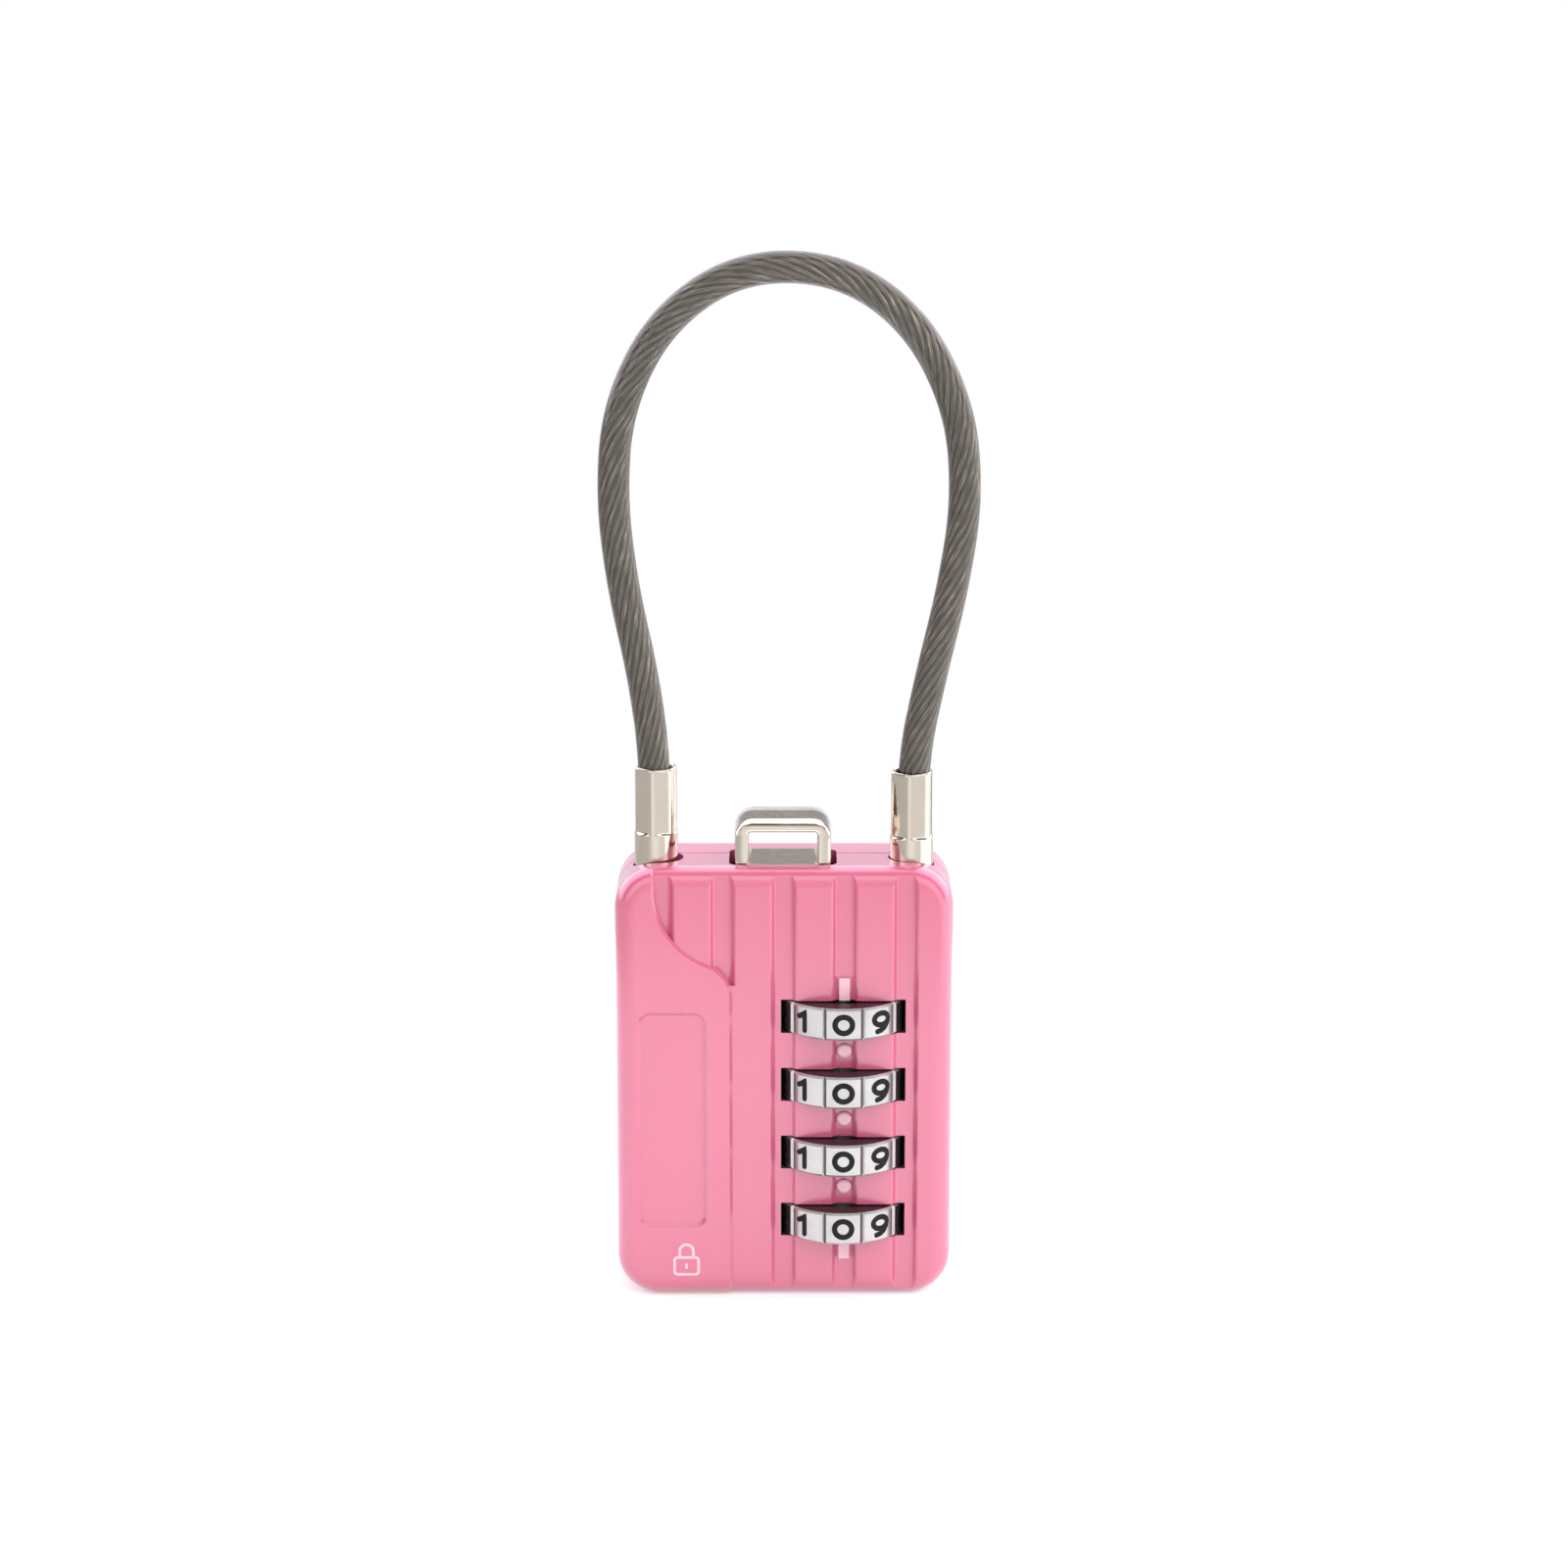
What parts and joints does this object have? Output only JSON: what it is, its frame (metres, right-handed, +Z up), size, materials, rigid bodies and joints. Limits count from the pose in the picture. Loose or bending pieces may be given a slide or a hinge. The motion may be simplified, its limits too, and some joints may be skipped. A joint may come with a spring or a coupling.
{
  "type": "cable luggage lock",
  "caption": "Small combination lock for zips and bags: ribbed housing with number dials, pull handle, and a flexible steel cable loop with one fixed end and one plug end",
  "frame": {"origin": "centre of the flat base of the housing", "axes": "+Z up along the cable loop, +Y to the back, so the dials face -Y and +X is to the right of somebody who reads them"},
  "size_m": [0.0358, 0.0143, 0.0999],
  "materials": {
    "shell_paint": "glossy pink enamel",
    "mark_paint": "gloss",
    "nickel": "nickel plate on zinc",
    "dial_plating": "satin nickel plate",
    "zinc": "cast zinc",
    "spring_steel": "spring steel",
    "wire_steel": "stranded steel",
    "smoky_jacket": "clear smoky vinyl",
    "black_plastic": "matt"
  },
  "bodies": {
    "housing": {"front_shell": "shell_paint", "back_cover": "shell_paint", "cover_rivets": "shell_paint", "index_marks": "mark_paint", "dial_cradle": "black_plastic", "detent_spring": "spring_steel", "bolt_guide": "zinc", "anchor_bush": "zinc", "anchor_pin": "zinc", "fixed_ferrule": "nickel", "wire_rope": "wire_steel", "cable_jacket": "smoky_jacket", "plug_socket": "zinc", "ejector_spring": "spring_steel", "handle_spring": "spring_steel", "reset_spring": "spring_steel"},
    "pull_handle": {"pull_handle": "nickel", "handle_link": "zinc", "drive_pin": "spring_steel", "spring_pin": "zinc", "spindle": "zinc"},
    "latch_bolt": {"latch_bolt": "zinc"},
    "plug": {"plug_ferrule": "nickel", "plug_pin": "zinc"},
    "reset_button": {"reset_button": "black_plastic"},
    "dial_1": {"dial_1": "dial_plating"},
    "code_sleeve_1": {"code_sleeve_1": "zinc"},
    "dial_2": {"dial_2": "dial_plating"},
    "code_sleeve_2": {"code_sleeve_2": "zinc"},
    "dial_3": {"dial_3": "dial_plating"},
    "code_sleeve_3": {"code_sleeve_3": "zinc"},
    "dial_4": {"dial_4": "dial_plating"},
    "code_sleeve_4": {"code_sleeve_4": "zinc"}
  },
  "joints": [
    {"name": "handle_lift", "type": "slide", "parent": "housing", "child": "pull_handle", "axis": [0, 0, 1], "range_m": [0, 0.0026], "stiffness_N_per_m": 400, "springref_m": -0.003, "deforming": ["handle_spring"]},
    {"name": "bolt_slide", "type": "slide", "parent": "housing", "child": "latch_bolt", "axis": [-1, 0, 0], "range_m": [0, 0.003]},
    {"name": "plug_lift", "type": "slide", "parent": "housing", "child": "plug", "axis": [0, 0, 1], "range_m": [0, 0.009], "deforming": ["wire_rope", "cable_jacket"]},
    {"name": "reset_press", "type": "slide", "parent": "housing", "child": "reset_button", "axis": [0, 0, 1], "range_m": [0, 0.0009], "stiffness_N_per_m": 300, "springref_m": -0.002, "deforming": ["reset_spring"]},
    {"name": "dial_1_turn", "type": "hinge", "parent": "housing", "child": "dial_1", "pos_m": [0.00563, -0.00235, 0.02785], "axis": [0, 0, 1], "continuous": true},
    {"name": "sleeve_1_turn", "type": "hinge", "parent": "reset_button", "child": "code_sleeve_1", "pos_m": [0.00563, -0.00235, 0.02785], "axis": [0, 0, 1], "continuous": true},
    {"name": "dial_2_turn", "type": "hinge", "parent": "housing", "child": "dial_2", "pos_m": [0.00563, -0.00235, 0.0211], "axis": [0, 0, 1], "continuous": true},
    {"name": "sleeve_2_turn", "type": "hinge", "parent": "reset_button", "child": "code_sleeve_2", "pos_m": [0.00563, -0.00235, 0.0211], "axis": [0, 0, 1], "continuous": true},
    {"name": "dial_3_turn", "type": "hinge", "parent": "housing", "child": "dial_3", "pos_m": [0.00563, -0.00235, 0.01435], "axis": [0, 0, 1], "continuous": true},
    {"name": "sleeve_3_turn", "type": "hinge", "parent": "reset_button", "child": "code_sleeve_3", "pos_m": [0.00563, -0.00235, 0.01435], "axis": [0, 0, 1], "continuous": true},
    {"name": "dial_4_turn", "type": "hinge", "parent": "housing", "child": "dial_4", "pos_m": [0.00563, -0.00235, 0.0076], "axis": [0, 0, 1], "continuous": true},
    {"name": "sleeve_4_turn", "type": "hinge", "parent": "reset_button", "child": "code_sleeve_4", "pos_m": [0.00563, -0.00235, 0.0076], "axis": [0, 0, 1], "continuous": true}
  ],
  "couplings": [
    {"joint": "bolt_slide", "follows": "handle_lift", "ratio": 1.1538},
    {"joint": "plug_lift", "follows": "handle_lift", "ratio": 3.4615},
    {"joint": "sleeve_1_turn", "follows": "dial_1_turn", "ratio": 1},
    {"joint": "sleeve_2_turn", "follows": "dial_2_turn", "ratio": 1},
    {"joint": "sleeve_3_turn", "follows": "dial_3_turn", "ratio": 1},
    {"joint": "sleeve_4_turn", "follows": "dial_4_turn", "ratio": 1}
  ]
}
